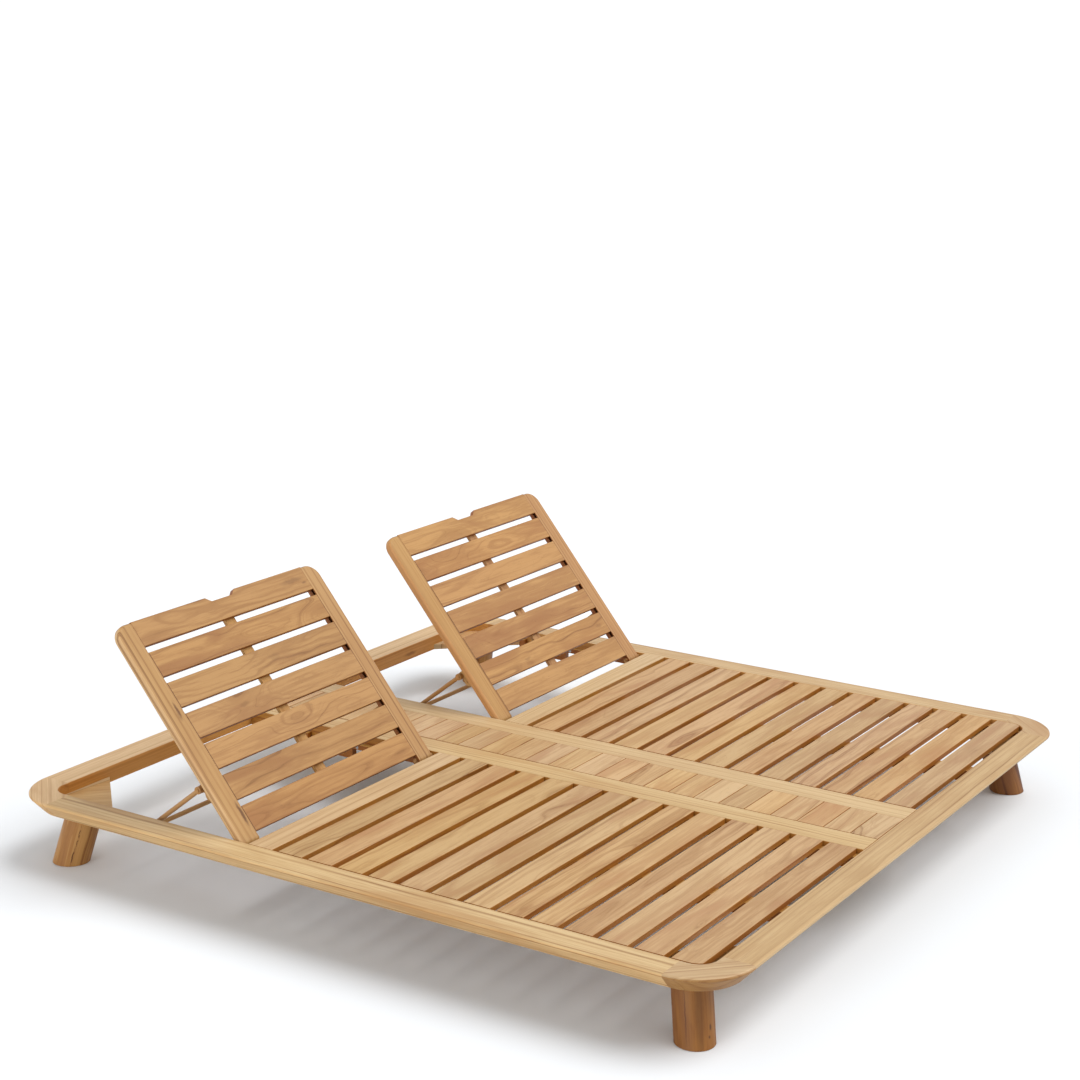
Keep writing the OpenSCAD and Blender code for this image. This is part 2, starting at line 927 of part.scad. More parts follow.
// Barrel nut across the lobe with its bolt into the stile
module barrel_bolt(fit = 0) {
    translate([0, lobe_s, lobe_n]) {
        translate([screw_sink - (fit > 0 ? over : 0), 0, 0])
            rotate([0, 90, 0])
                cylinder(h = bracket_w - 2 * screw_sink + (fit > 0 ? 2 * over : 0), r = barrel_r + fit);
        translate([bracket_w / 2, 0, 0])
            cylinder(h = barrel_bolt_l + fit, r = barrel_bolt_r + fit);
    }
}

module bracket_bolts(side) {
    color(DARK_STEEL)
        back_frame(side)
            for (dir = [-1, 1])
                mirror([dir < 0 ? 1 : 0, 0, 0])
                    bracket_places()
                        barrel_bolt();
}

// Pivot pins through the brackets and the arms' eyes, with a flat head at each end
module prop_pins(side) {
    pin_l = bracket_w + gap + 2 * eye_half + gap;
    color(STEEL)
        back_frame(side)
            for (dir = [-1, 1])
                mirror([dir < 0 ? 1 : 0, 0, 0])
                    translate([bracket_x, pivot_s, -pivot_offset])
                        rotate([0, 90, 0]) {
                            cylinder(h = pin_l, r = pin_r);
                            translate([0, 0, -pin_head_l])
                                cylinder(h = pin_head_l, r = pin_head_r);
                            translate([0, 0, pin_l])
                                cylinder(h = pin_head_l, r = pin_head_r);
                        }
}

// Frame of the right prop: origin on its pivot, y along the arms towards the crossbar
module prop_frame(side) {
    on_side(side)
        translate([bay_mid, hinge_y + pivot_y, hinge_z + pivot_z])
            rotate([-arm_drop, 0, 0])
                children();
}

// Round arms with an eye on the pivot pin and one on the crossbar
module prop_arms(side) {
    color(BAR_WOOD)
        prop_frame(side)
            for (dir = [-1, 1])
                translate([dir * arm_x, 0, 0])
                    difference() {
                        union() {
                            rotate([-90, 0, 0])
                                cylinder(h = arm_l, r = prop_r);
                            for (y = [0, arm_l])
                                translate([-eye_half, y, 0])
                                    rotate([0, 90, 0])
                                        cylinder(h = 2 * eye_half, r = eye_r);
                        }
                        rotate([0, 90, 0])
                            cylinder(h = 2 * (eye_half + over), r = pin_r + run_fit, center = true);
                        translate([0, arm_l, 0])
                            rotate([0, 90, 0])
                                cylinder(h = 2 * (eye_half + over), r = prop_r + run_fit, center = true);
                    }
}

// Crossbar through both arms, whose ends run in the racks
module prop_bar(side) {
    l = bay_w - 2 * bar_end_gap;
    color(BAR_WOOD)
        prop_frame(side)
            translate([-l / 2, arm_l, 0])
                rotate([0, 90, 0])
                    cylinder(h = l, r = prop_r);
}

side_rail(-1);  // side_rail_left
side_rail(1);  // side_rail_right
end_rail(1);  // head_rail
end_rail(-1);  // foot_rail
corner_block(-1, 1);  // corner_head_left
corner_block(1, 1);  // corner_head_right
corner_block(-1, -1);  // corner_foot_left
corner_block(1, -1);  // corner_foot_right
centre_rail(-1);  // centre_rail_left
centre_rail(1);  // centre_rail_right
hinge_rail(-1);  // hinge_rail_left
hinge_rail(1);  // hinge_rail_right
seat_slats(-1);  // seat_slats_left
seat_slats(1);  // seat_slats_right
centre_planks();
seat_cleats(-1);  // seat_cleats_left
seat_cleats(1);  // seat_cleats_right
centre_cleats();
seat_batten(-1);  // seat_batten_left
seat_batten(1);  // seat_batten_right
leg(-1, 1);  // leg_head_left
leg(1, 1);  // leg_head_right
leg(-1, -1);  // leg_foot_left
leg(1, -1);  // leg_foot_right
gusset(-1, 1);  // gusset_head_left
gusset(1, 1);  // gusset_head_right
gusset(-1, -1);  // gusset_foot_left
gusset(1, -1);  // gusset_foot_right
rack(-1);  // rack_left
rack(1);  // rack_right
leg_bolts();
gusset_dowels();
wood_screws();
hinge_bolts();
foot_glides();
stile(-1, 1);  // stile_outer_left
stile(-1, -1);  // stile_inner_left
back_top_rail(-1);  // back_top_rail_left
back_slats(-1);  // back_slats_left
back_bottom_rail(-1);  // back_bottom_rail_left
back_batten(-1);  // back_batten_left
prop_brackets(-1);  // prop_brackets_left
bracket_bolts(-1);  // bracket_bolts_left
prop_pins(-1);  // prop_pins_left
batten_screws(-1);  // batten_screws_left
prop_arms(-1);  // prop_arms_left
prop_bar(-1);  // prop_bar_left
stile(1, 1);  // stile_outer_right
stile(1, -1);  // stile_inner_right
back_top_rail(1);  // back_top_rail_right
back_slats(1);  // back_slats_right
back_bottom_rail(1);  // back_bottom_rail_right
back_batten(1);  // back_batten_right
prop_brackets(1);  // prop_brackets_right
bracket_bolts(1);  // bracket_bolts_right
prop_pins(1);  // prop_pins_right
batten_screws(1);  // batten_screws_right
prop_arms(1);  // prop_arms_right
prop_bar(1);  // prop_bar_right
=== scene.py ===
import math

import bpy
from mathutils import Matrix, Vector

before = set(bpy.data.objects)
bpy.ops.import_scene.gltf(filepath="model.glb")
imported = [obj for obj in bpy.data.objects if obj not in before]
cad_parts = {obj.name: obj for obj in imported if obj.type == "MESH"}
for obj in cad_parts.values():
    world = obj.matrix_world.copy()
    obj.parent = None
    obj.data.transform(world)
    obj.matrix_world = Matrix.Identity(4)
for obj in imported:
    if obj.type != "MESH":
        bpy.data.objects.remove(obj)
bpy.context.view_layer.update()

SIDES = (("left", -1), ("right", 1))
ENDS = (("head", 1), ("foot", -1))
X = Vector((1, 0, 0))
Y = Vector((0, 1, 0))
Z = Vector((0, 0, 1))

# Sizes of the daybed that the materials line up with, in metres. Boards repeat at a pitch, and their row
# starts in the middle of the gap before the first one
BOARD_PITCH = 0.088
SEAT_START = -0.930
BACK_START = 0.004
OPENING_HALF = 0.939
PLANK_COUNT = 26
PLANK_PITCH = 2 * OPENING_HALF / PLANK_COUNT

# Places that the grain's coordinates are measured from, near the middles of the pieces
RAIL_Z = 0.17
SLAT_Z = 0.183
CLEAT_Z = 0.16
SIDE_RAIL_X = 0.99
CENTRE_RAIL_X = 0.12
BAY_MID = 0.5565
HINGE_RAIL_Y = 0.258
END_RAIL_Y = 0.979
CORNER_X, CORNER_Y = 0.95, 0.94
LEG_X, LEG_Y, LEG_Z = 0.8946, 0.8706, 0.146
BACK_AXIS = Vector((0.0, 0.323, 0.178))
STILE_OFFSET = 0.362

# Directions of the legs, the raised backrests and the props' arms
LEG_TILT = math.radians(16.4)
BACK_TILT = math.radians(50)
ARM_DROP = math.radians(38.77)
UP_BACK = Vector((0, math.cos(BACK_TILT), math.sin(BACK_TILT)))
DOWN_ARM = Vector((0, math.cos(ARM_DROP), -math.sin(ARM_DROP)))

# Painted shade in the seams at the ends of a backrest's boards: half the boards' length, how far in from
# there it sets in and is darkest, where in the gap below the top board its fainter seams start, and how
# strong both are
BOARD_HALF = 0.332
SEAM_START, SEAM_FULL = 0.0026, 0.0010
SEAM_STRENGTH = 0.92
TOP_BOARD, TOP_BOARD_BLUR = 0.528, 0.001
TOP_SEAM_SHARE = 0.25
# Painted shade in the grooves for the boards: half a stile's width, how far forward of the stile's
# middle the groove lies, half its width, how deep the shade reaches into the stile, and where it fades at
# its ends and sides
STILE_HALF = 0.030
GROOVE_MID = 0.005
GROOVE_HALF = 0.0041
GROOVE_DEPTH = 0.024
GROOVE_END_BLUR = (0.0006, 0.0003)
GROOVE_SIDE_BLUR = 0.0002
# A pale strip on each gusset beside the end rail: where it starts beside the side rail and how much wider it
# gets per metre from there. Then the painted shadow line along it: half its width, where it has faded, and
# its strength
STRIP_TIP_X = 0.945
STRIP_SLOPE = 0.085
EDGE_HALF, EDGE_END = 0.0008, 0.003
EDGE_STRENGTH = 0.6

# The palettes below are written as they look on the bed's top: what share of that the wood itself has
ALBEDO_SHARES = (0.620, 0.578, 0.490, 1.0)
# Faces inside the gaps, the rails' inner faces and the stiles' faces towards the boards are painted darker
# and redder, as the shade and the wood's bounced light in them. These and the next are shares of the face's
# own colour
GAP_SHADE_SHARES = (0.74, 0.45, 0.124, 1.0)
INNER_SHADE_SHARES = (0.90, 0.60, 0.25, 1.0)
STILE_SHADE_SHARES = (0.72, 0.42, 0.16, 1.0)
# So are the walls of the grooves and the seams at the boards' ends, as painted shade
SEAM_SHADE_SHARES = (0.30, 0.17, 0.10, 1.0)
# The stiles' faces away from the boards and the side rails' slopes are painted paler, as light that falls on
# them
OUTER_LIGHT_SHARES = {"outer": (1.40, 1.56, 2.10, 1.0), "inner": (1.25, 1.16, 1.30, 1.0)}
NOSE_LIGHT_SHARES = (1.16, 1.08, 0.97, 1.0)
# The corners' slopes are painted darker as shade, the foot rail's top is yellower and the planks' tops are
# less yellow
CORNER_SHADE_SHARES = {"head": (1.0, 0.86, 0.60, 1.0), "foot": (0.68, 0.50, 0.26, 1.0)}
TOP_SHARES = {"head": (1.0, 1.0, 1.0, 1.0), "foot": (1.02, 0.96, 0.87, 1.0)}
PLANK_SHARES = (1.0, 1.03, 1.10, 1.0)
# Knots and cracks, the painted shade down the front leg, pits and the painted shadow line on the gussets, as
# shares of the wood's darkest colour
MARK_AND_SHADE_SHARES = (0.52, 0.36, 0.24, 1.0)
PIT_SHARES = (0.36, 0.36, 0.36, 1.0)
EDGE_SHADOW_SHARES = (0.5, 0.5, 0.5, 1.0)

# How bright the single pieces' wood is beside the rest: some are pale and some are dark. The head end's rail,
# corners and legs and the gussets are also painted lighter, against the shade that the backrests and the bed
# cast on them
SIDE_TONES = {"left": 1.0, "right": 0.92}
RAIL_TONES_AND_LIGHT = {"head": 1.21, "foot": 0.91}
CORNER_TONES_AND_LIGHT = {"head": 1.17, "foot": 0.92}
LEG_TONES_AND_LIGHT = {"head": 1.45, "foot": 0.87}
BACK_TONES = {"left": 0.94, "right": 1.01}
STILE_TONE = 0.94
PLANK_TONE = 1.08
MIDDLE_TONE = 1.04
GUSSET_TONE_AND_LIGHT = 1.10

# Patterns in the wood: features per metre along and across the grain, octaves, roughness and distortion
WANDER = (3.2, 11.0, 2.0, 0.5, 0.4)
WOBBLE = (70.0, 0.0, 3.0, 0.6, 0.0)
BROAD = (2.2, 13.0, 3.0, 0.55, 0.8)
PATCH = (1.3, 6.0, 1.0, 0.5, 0.0)
FINE = (6.0, 130.0, 4.0, 0.65, 0.0)
PORES = (38.0, 900.0, 1.0, 0.5, 0.0)

# Octaves and roughness of the growth bands' noise, and how much the bands slant to the piece. Noise mostly
# keeps within a quarter of its middle, and the gain takes that to the whole of a wood's wander
BAND_NOISE = (4.0, 0.68)
BAND_SLANT = 0.02
WANDER_GAIN = 4.0
# Knots: cells per metre along and across the grain, a knot's radius in cells, and the random numbers between
# which cells start to have one
KNOTS_ALONG, KNOTS_ACROSS, KNOT_RADIUS = 3.0, 9.0, 0.42
KNOT_CHANCE = (0.60, 0.64)
# How dark the wood is, from 0 to 1: without any pattern, what the patterns weigh, and at its middle colour
BASE_LEVEL, MIDDLE_LEVEL = 0.16, 0.28
LINE_WEIGHT, BAND_WEIGHT, BLOTCH_WEIGHT, FIBRE_WEIGHT, KNOT_WEIGHT = 0.75, 0.50, 0.90, 0.70, 0.30
# Noise values where these start and are complete: a band's dark line, which is complete at the wood's crisp,
# the patches that take the lines from faint to strong, a rosy blotch, and a pit
LINE_START = 0.50
LINE_SPAN = (0.32, 0.62, 0.35, 1.0)
ROSY_SPAN = (0.50, 0.72)
PIT_SPAN = (0.66, 0.78)
# Share of a mark's size from which on it fades, and how much more saturation leans than hue
MARK_CORE = 0.30
SATURATION_LEAN = 12.5
# Cosines where a face starts and ends to lie along its board's face, and to look in a given direction
ACROSS_SPAN = (0.35, 0.80, 1.0, 0.0)
FACING_SPAN = (0.30, 0.75)
# How far the side rails' and corners' slopes look down for each metre outward
RAIL_SLOPE, CORNER_SLOPE = 0.45, 0.5
# Sheen: shares of fibres and bands, the roughness that they give, and the specular level
FIBRE_SHEEN, BAND_SHEEN = 0.7, 0.3
WOOD_ROUGH = (0.3, 0.8, 0.46, 0.62)
WOOD_SPECULAR = 0.35
# Strength of the relief and its depth in metres
FIBRE_BUMP = (0.22, 0.0006)
PIT_BUMP = (0.5, 0.0005)

# The knots, cracks and dark streaks that catch the eye on the real piece, and one painted shade on the front
# leg, by the wood's name: place along the grain, across it and out of the face, half length, half width,
# strength, and how far the outline wobbles
MARKS_AND_SHADE = {
    "stile_outer_left": (
        (0.362, 0.0130, -0.0120, 0.030, 0.0056, 0.80, 0.008),
        (0.348, 0.0090, -0.0120, 0.022, 0.0080, 0.35, 0.008),
        (0.065, 0.0200, -0.0120, 0.045, 0.0072, 0.85, 0.008)),
    "leg_head_left": (
        (0.072, 0.0450, 0.0030, 0.042, 0.0022, 0.8, 0.010),
        (0.125, 0.0450, 0.0050, 0.030, 0.0026, 0.9, 0.010)),
    "leg_foot_left": (
        (0.1165, 0.0250, 0.0385, 0.010, 0.0045, 0.75, 0.006),
        (0.137, 0.0210, 0.0400, 0.005, 0.0040, 0.7, 0.004),
        (0.09, -0.0282, 0.0350, 0.085, 0.0022, 0.55, 0.003),
        # Painted shade: the dark band down the middle of the leg's front
        (0.09, 0.0, 0.0450, 0.12, 0.013, 0.38, 0.003)),
    "back_boards_left": (
        (0.270, 0.581, 0.0120, 0.062, 0.0100, 0.36, 0.008),
        (0.312, 0.566, 0.0120, 0.013, 0.0045, 0.45, 0.004),
        (-0.134, 0.314, 0.0120, 0.026, 0.0090, 0.24, 0.010),
        (0.055, 0.402, 0.0120, 0.030, 0.0140, 0.20, 0.012)),
    "back_boards_right": (
        (-0.117, 0.128, 0.0120, 0.024, 0.0060, 0.30, 0.010),
        (0.290, 0.133, 0.0120, 0.022, 0.0100, 0.24, 0.010)),
    "head_rail": (
        (0.610, -0.0400, -0.0070, 0.040, 0.0080, 0.55, 0.006),),
    "corner_head_left": (
        (-0.03, 0.0600, 0.0200, 0.030, 0.0060, 0.6, 0.012),),
}

# The photograph's camera, solved on the rails, the slats and both backrests, with the focal length in its
# pixels
PHOTO_WIDTH = 1080.0
FOCAL_LENGTH = 2168.0
SENSOR_WIDTH = 36.0
CAMERA_PLACE = (-4.67632, -2.85167, 2.1216)
CAMERA_RIGHT = Vector((0.53428182, -0.84521078, 0.01271502))
CAMERA_UP = Vector((0.19418435, 0.13736132, 0.97130032))
CAMERA_AHEAD = Vector((0.82270005, 0.51647904, -0.23751636))

FLOOR_HALF = 60.0
FLOOR_COLOURS = ((0.742, 0.766, 0.792, 1.0), (0.748, 0.772, 0.798, 1.0))
# Strength of the white surroundings by height: bright near the horizon and dimmer overhead, where the key
# light takes over
SKY = (("From Min", 0.15), ("From Max", 0.45), ("To Min", 1.06), ("To Max", 0.70))


def linear(rgb):
    """Linear colour from 0-255 sRGB numbers."""
    c = [v / 255 for v in rgb]
    return [v / 12.92 if v <= 0.04045 else ((v + 0.055) / 1.055) ** 2.4 for v in c] + [1.0]


def times(colour, shares):
    """A linear colour of which each channel keeps its share."""
    return [c * share for c, share in zip(colour, shares)]


class Shader:
    """A material whose nodes are added by short calls."""

    def __init__(self, name):
        self.material = bpy.data.materials.new(name)
        self.material.use_nodes = True
        self.tree = self.material.node_tree
        self.tree.nodes.clear()
        out = self.node("ShaderNodeOutputMaterial")
        self.bsdf = self.node("ShaderNodeBsdfPrincipled")
        self.join(self.bsdf.outputs[0], out.inputs["Surface"])
        self.coord = self.node("ShaderNodeTexCoord")

    def node(self, kind, **props):
        n = self.tree.nodes.new(kind)
        for key, value in props.items():
            setattr(n, key, value)
        return n

    def join(self, a, b):
        self.tree.links.new(a, b)

    def put(self, socket, value):
        if isinstance(value, bpy.types.NodeSocket):
            self.join(value, socket)
        else:
            socket.default_value = value

    def math(self, op, a, b=None, c=None, clamp=False):
        n = self.node("ShaderNodeMath", operation=op, use_clamp=clamp)
        for socket, value in zip(n.inputs, (a, b, c)):
            if value is not None:
                self.put(socket, value)
        return n.outputs[0]

    def sway(self, base, value, strength):
        """The base, moved by how far a value from 0 to 1 is off its middle."""
        return self.math("MULTIPLY_ADD", self.math("SUBTRACT", value, 0.5), strength, base)

    def vector(self, x, y, z):
        n = self.node("ShaderNodeCombineXYZ")
        for socket, value in zip(n.inputs, (x, y, z)):
            self.put(socket, value)
        return n.outputs[0]

    def split(self, vec):
        n = self.node("ShaderNodeSeparateXYZ")
        self.join(vec, n.inputs[0])
        return n.outputs

    def noise(self, place, detail, rough, distortion=0.0, scale=1.0, dimensions="3D"):
        n = self.node("ShaderNodeTexNoise", noise_dimensions=dimensions)
        self.join(place, n.inputs["W" if dimensions == "1D" else "Vector"])
        n.inputs["Scale"].default_value = scale
        n.inputs["Detail"].default_value = detail
        n.inputs["Roughness"].default_value = rough
        n.inputs["Distortion"].default_value = distortion
        return n.outputs["Fac"]

    def span(self, value, lo, hi, to_lo=0.0, to_hi=1.0):
        """A smooth step from to_lo to to_hi while the value goes from lo to hi."""
        n = self.node("ShaderNodeMapRange", interpolation_type="SMOOTHSTEP")
        self.put(n.inputs["Value"], value)
        for name, number in (("From Min", lo), ("From Max", hi), ("To Min", to_lo), ("To Max", to_hi)):
            n.inputs[name].default_value = number
        return n.outputs[0]

    def mix(self, fac, a, b, blend="MIX"):
        """Colour b over colour a. The node has its colours on sockets 6 and 7 and on output 2."""
        n = self.node("ShaderNodeMix", data_type="RGBA", blend_type=blend)
        self.put(n.inputs[0], fac)
        self.put(n.inputs[6], a)
        self.put(n.inputs[7], b)
        return n.outputs[2]

    def ramp(self, fac, stops):
        n = self.node("ShaderNodeValToRGB")
        n.color_ramp.interpolation = "EASE"
        points = n.color_ramp.elements
        while len(points) < len(stops):
            points.new(0.5)
        for point, (at, colour) in zip(points, stops):
            point.position = at
            point.color = colour
        self.join(fac, n.inputs[0])
        return n.outputs[0]

    def bump(self, height, strength, distance, normal=None):
        n = self.node("ShaderNodeBump")
        n.inputs["Strength"].default_value = strength
        n.inputs["Distance"].default_value = distance
        self.join(height, n.inputs["Height"])
        if normal is not None:
            self.join(normal, n.inputs["Normal"])
        return n.outputs[0]


class Look:
    """How one wood looks: colours, then how its growth bands run and how strong each layer of figure is."""

    def __init__(self, pale, middle, dark, blush, band, wander, pith, cut, whorl, crisp, lines, blotch, fibre,
                 spread, lean=0.008):
        self.pale, self.middle, self.dark, self.blush = [
            times(linear(rgb), ALBEDO_SHARES) for rgb in (pale, middle, dark, blush)]
        # Width of a growth band, how far it wanders, and the pith's least and greatest distance, in metres
        self.band, self.wander, self.pith = band, wander, pith
        # Angles of the pith from the face's normal, least and spread in radians, and how far a knot bends the
        # bands, in metres
        self.cut, self.whorl = cut, whorl
        # Where a band is at its darkest: near 0.6 its edges are crisp and near 0.8 they are soft
        self.crisp = crisp
        # Strengths of bands, blotches, fibres and of the difference between boards
        self.lines, self.blotch, self.fibre, self.spread = lines, blotch, fibre, spread
        # How far single boards lean to pink or yellow
        self.lean = lean


RAIL = Look((242, 213, 170), (224, 189, 144), (158, 113, 68), (212, 169, 120),
            band=0.0095, wander=0.0022, pith=(0.30, 0.60), cut=(0.75, 0.30), whorl=0.002, crisp=0.73,
            lines=0.95, blotch=0.75, fibre=0.95, spread=0.02)
FRAME = Look((236, 208, 168), (219, 187, 145), (178, 134, 86), (215, 175, 131),
             band=0.0080, wander=0.0016, pith=(0.10, 0.30), cut=(0.5, 0.6), whorl=0.006, crisp=0.72,
             lines=0.92, blotch=0.50, fibre=0.75, spread=0.02)
STILE = Look((219, 174, 117), (203, 154, 98), (151, 102, 53), (198, 145, 91),
             band=0.0075, wander=0.0010, pith=(0.08, 0.25), cut=(0.6, 0.5), whorl=0.006, crisp=0.70,
             lines=0.85, blotch=0.45, fibre=0.50, spread=0.02)
SLAT = Look((226, 190, 145), (210, 171, 125), (166, 120, 74), (203, 156, 112),
            band=0.0085, wander=0.0070, pith=(0.02, 0.07), cut=(-0.8, 1.6), whorl=0.016, crisp=0.73,
            lines=0.78, blotch=0.90, fibre=1.20, spread=0.065)
BACK = Look((213, 166, 108), (194, 146, 91), (140, 91, 48), (182, 130, 79),
            band=0.0075, wander=0.0110, pith=(0.015, 0.05), cut=(-0.8, 1.6), whorl=0.030, crisp=0.74,
            lines=0.60, blotch=0.95, fibre=1.05, spread=0.03, lean=0.003)
UNDER = Look((220, 172, 110), (196, 146, 86), (150, 98, 48), (184, 130, 76),
             band=0.0070, wander=0.0030, pith=(0.03, 0.10), cut=(-0.8, 1.6), whorl=0.012, crisp=0.72,
             lines=0.60, blotch=0.60, fibre=0.45, spread=0.05)
GUSSET = Look((236, 196, 142), (220, 174, 118), (172, 122, 74), (208, 158, 106),
              band=0.0060, wander=0.0040, pith=(0.03, 0.10), cut=(-0.8, 1.6), whorl=0.012, crisp=0.74,
              lines=0.55, blotch=0.60, fibre=0.45, spread=0.03)
HEAD_LEG = Look((184, 141, 85), (161, 114, 60), (98, 57, 21), (150, 102, 53),
                band=0.0060, wander=0.0025, pith=(0.01, 0.03), cut=(-0.8, 1.6), whorl=0.010, crisp=0.70,
                lines=0.90, blotch=0.85, fibre=0.90, spread=0.04)
FOOT_LEG = Look((183, 123, 46), (160, 99, 31), (99, 50, 10), (149, 87, 26),
                band=0.0060, wander=0.0025, pith=(0.01, 0.03), cut=(-0.8, 1.6), whorl=0.010, crisp=0.70,
                lines=0.80, blotch=0.80, fibre=0.80, spread=0.04)
LEGS = {"head": HEAD_LEG, "foot": FOOT_LEG}
BAR = Look((230, 188, 130), (210, 164, 104), (164, 114, 62), (200, 150, 94),
           band=0.0050, wander=0.0015, pith=(0.01, 0.03), cut=(-0.8, 1.6), whorl=0.004, crisp=0.72,
           lines=0.50, blotch=0.50, fibre=0.60, spread=0.03)


class Grain:
    """Coordinates of one piece of wood: u along the grain, v across the face, w out of it.

    Where boards repeat at a pitch, v starts anew in each one, whole runs on, and r1, r2 and r3 are the
    board's own random numbers."""

    # Factors that turn neighbouring seeds and random numbers into places far apart in the noises
    LOT_STEP = 17.31
    SHIFT_STEP = 3.7
    SHIFT_RANGE = 37.0

    def __init__(self, shader, origin, along, across, seed, pitch, start):
        s = self.shader = shader
        self.normal = along.cross(across)
        place = s.node("ShaderNodeMapping", vector_type="TEXTURE")
        place.inputs["Location"].default_value = origin
        place.inputs["Rotation"].default_value = Matrix((along, across, self.normal)).transposed().to_euler()
        s.join(s.coord.outputs["Object"], place.inputs["Vector"])
        self.u, self.v, self.w = s.split(place.outputs[0])
        self.whole = self.v
        lot = s.node("ShaderNodeTexWhiteNoise", noise_dimensions="1D")
        if pitch:
            number = s.math("FLOOR", s.math("DIVIDE", s.math("SUBTRACT", self.v, start), pitch))
            middle = s.math("MULTIPLY_ADD", number, pitch, start + pitch / 2)
            self.v = s.math("SUBTRACT", self.v, middle)
            s.join(s.math("ADD", number, seed * self.LOT_STEP), lot.inputs["W"])
        else:
            lot.inputs["W"].default_value = seed * self.LOT_STEP
        self.r1, self.r2, self.r3 = s.split(lot.outputs["Color"])
        self.shift = s.math("MULTIPLY_ADD", lot.outputs["Value"], self.SHIFT_RANGE, seed * self.SHIFT_STEP)

    def noise(self, pattern):
        """One of the patterns listed at the top, from 0 to 1."""
        per_length, per_width, detail, rough, distortion = pattern
        s = self.shader
        place = s.vector(s.math("MULTIPLY_ADD", self.u, per_length, self.shift),
                         s.math("MULTIPLY_ADD", self.v, per_width, self.r1),
                         s.math("MULTIPLY_ADD", self.w, per_width, self.r2))
        return s.noise(place, detail, rough, distortion)


def knots(s, g):
    """How near a point is to one of the few knots, from 0 to 1."""
    cells = s.node("ShaderNodeTexVoronoi", feature="F1")
    cells.inputs["Scale"].default_value = 1.0
    place = s.vector(s.math("MULTIPLY_ADD", g.u, KNOTS_ALONG, g.shift),
                     s.math("MULTIPLY_ADD", g.v, KNOTS_ACROSS, g.r2), g.r1)
    s.join(place, cells.inputs["Vector"])
    near = s.span(cells.outputs["Distance"], 0.0, KNOT_RADIUS, 1.0, 0.0)
    chosen = s.span(s.split(cells.outputs["Color"])[0], *KNOT_CHANCE)
    return s.math("MULTIPLY", near, chosen)


def growth_bands(s, g, look, knot):
    """Dark and pale bands at uneven widths round a pith that lies off the piece."""
    near, far = look.pith
    least, more = look.cut
    off = s.math("MULTIPLY_ADD", g.r2, far - near, near)
    turn = s.math("MULTIPLY_ADD", g.r1, more, least)
    dv = s.math("MULTIPLY_ADD", s.math("SINE", turn), off, g.v)
    dw = s.math("MULTIPLY_ADD", s.math("COSINE", turn), off, g.w)
    skew = s.math("MULTIPLY", s.math("SUBTRACT", g.r3, 0.5), BAND_SLANT)
    dw = s.math("MULTIPLY_ADD", g.u, skew, dw)
    radius = s.math("SQRT", s.math("ADD", s.math("MULTIPLY", dv, dv), s.math("MULTIPLY", dw, dw)))
    radius = s.sway(radius, g.noise(WANDER), WANDER_GAIN * look.wander)
    radius = s.math("MULTIPLY_ADD", knot, look.whorl, radius)
    return s.noise(s.math("MULTIPLY_ADD", radius, 1.0 / look.band, g.shift), *BAND_NOISE, dimensions="1D")


def figure(s, g, look, knot, band, fine):
    """The wood's colour from its bands, blotches, fibres and knots."""
    broad = g.noise(BROAD)
    lines = s.math("MULTIPLY", s.span(band, LINE_START, look.crisp), s.span(g.noise(PATCH), *LINE_SPAN))
    level = s.math("MULTIPLY_ADD", lines, look.lines * LINE_WEIGHT, BASE_LEVEL)
    level = s.sway(level, band, look.lines * BAND_WEIGHT)
    level = s.sway(level, broad, look.blotch * BLOTCH_WEIGHT)
    level = s.sway(level, fine, look.fibre * FIBRE_WEIGHT)
    level = s.math("MULTIPLY_ADD", s.math("POWER", knot, 3.0), KNOT_WEIGHT, level, clamp=True)
    colour = s.ramp(level, [(0.0, look.pale), (MIDDLE_LEVEL, look.middle), (1.0, look.dark)])
    rosy = s.math("MULTIPLY", s.span(broad, *ROSY_SPAN), look.blotch)
    return s.mix(rosy, colour, look.blush)


def spot(s, g, mark):
    """How strong a knot, crack or streak, or the painted shade on the front leg, is at a point."""
    u0, v0, w0, half_l, half_w, strength, wobble = mark
    shake = s.math("MULTIPLY", s.math("SUBTRACT", g.noise(WOBBLE), 0.5), wobble)
    du = s.math("DIVIDE", s.math("SUBTRACT", g.u, u0), half_l)
    dv = s.math("DIVIDE", s.math("ADD", s.math("SUBTRACT", g.whole, v0), shake), half_w)
    dw = s.math("DIVIDE", s.math("ADD", s.math("SUBTRACT", g.w, w0), shake), half_w)
    far = s.node("ShaderNodeVectorMath", operation="LENGTH")
    s.join(s.vector(du, dv, dw), far.inputs[0])
    return s.span(far.outputs["Value"], MARK_CORE, 1.0, strength, 0.0)


def tinted(s, g, look, tone, colour):
    """The colour at the piece's tone; boards differ a little in it and lean to pink or to yellow.

    On some pieces the tone holds painted light.
    """
    tint = s.node("ShaderNodeHueSaturation")
    for socket, middle, number, strength in (("Hue", 0.5, g.r2, look.lean),
                                             ("Saturation", 1.0, g.r3, SATURATION_LEAN * look.lean),
                                             ("Value", tone, g.r1, 2 * look.spread * tone)):
        s.join(s.sway(middle, number, strength), tint.inputs[socket])
    s.join(colour, tint.inputs["Color"])
    return tint.outputs[0]


def face_mask(s, g, direction):
    """1 on faces that look along the direction, or with no direction on all that stand across the board."""
    facing = s.node("ShaderNodeVectorMath", operation="DOT_PRODUCT")
    s.join(s.coord.outputs["Normal"], facing.inputs[0])
    if direction is None:
        facing.inputs[1].default_value = g.normal
        return s.span(s.math("ABSOLUTE", facing.outputs["Value"]), *ACROSS_SPAN)
    facing.inputs[1].default_value = direction
    return s.span(facing.outputs["Value"], *FACING_SPAN)


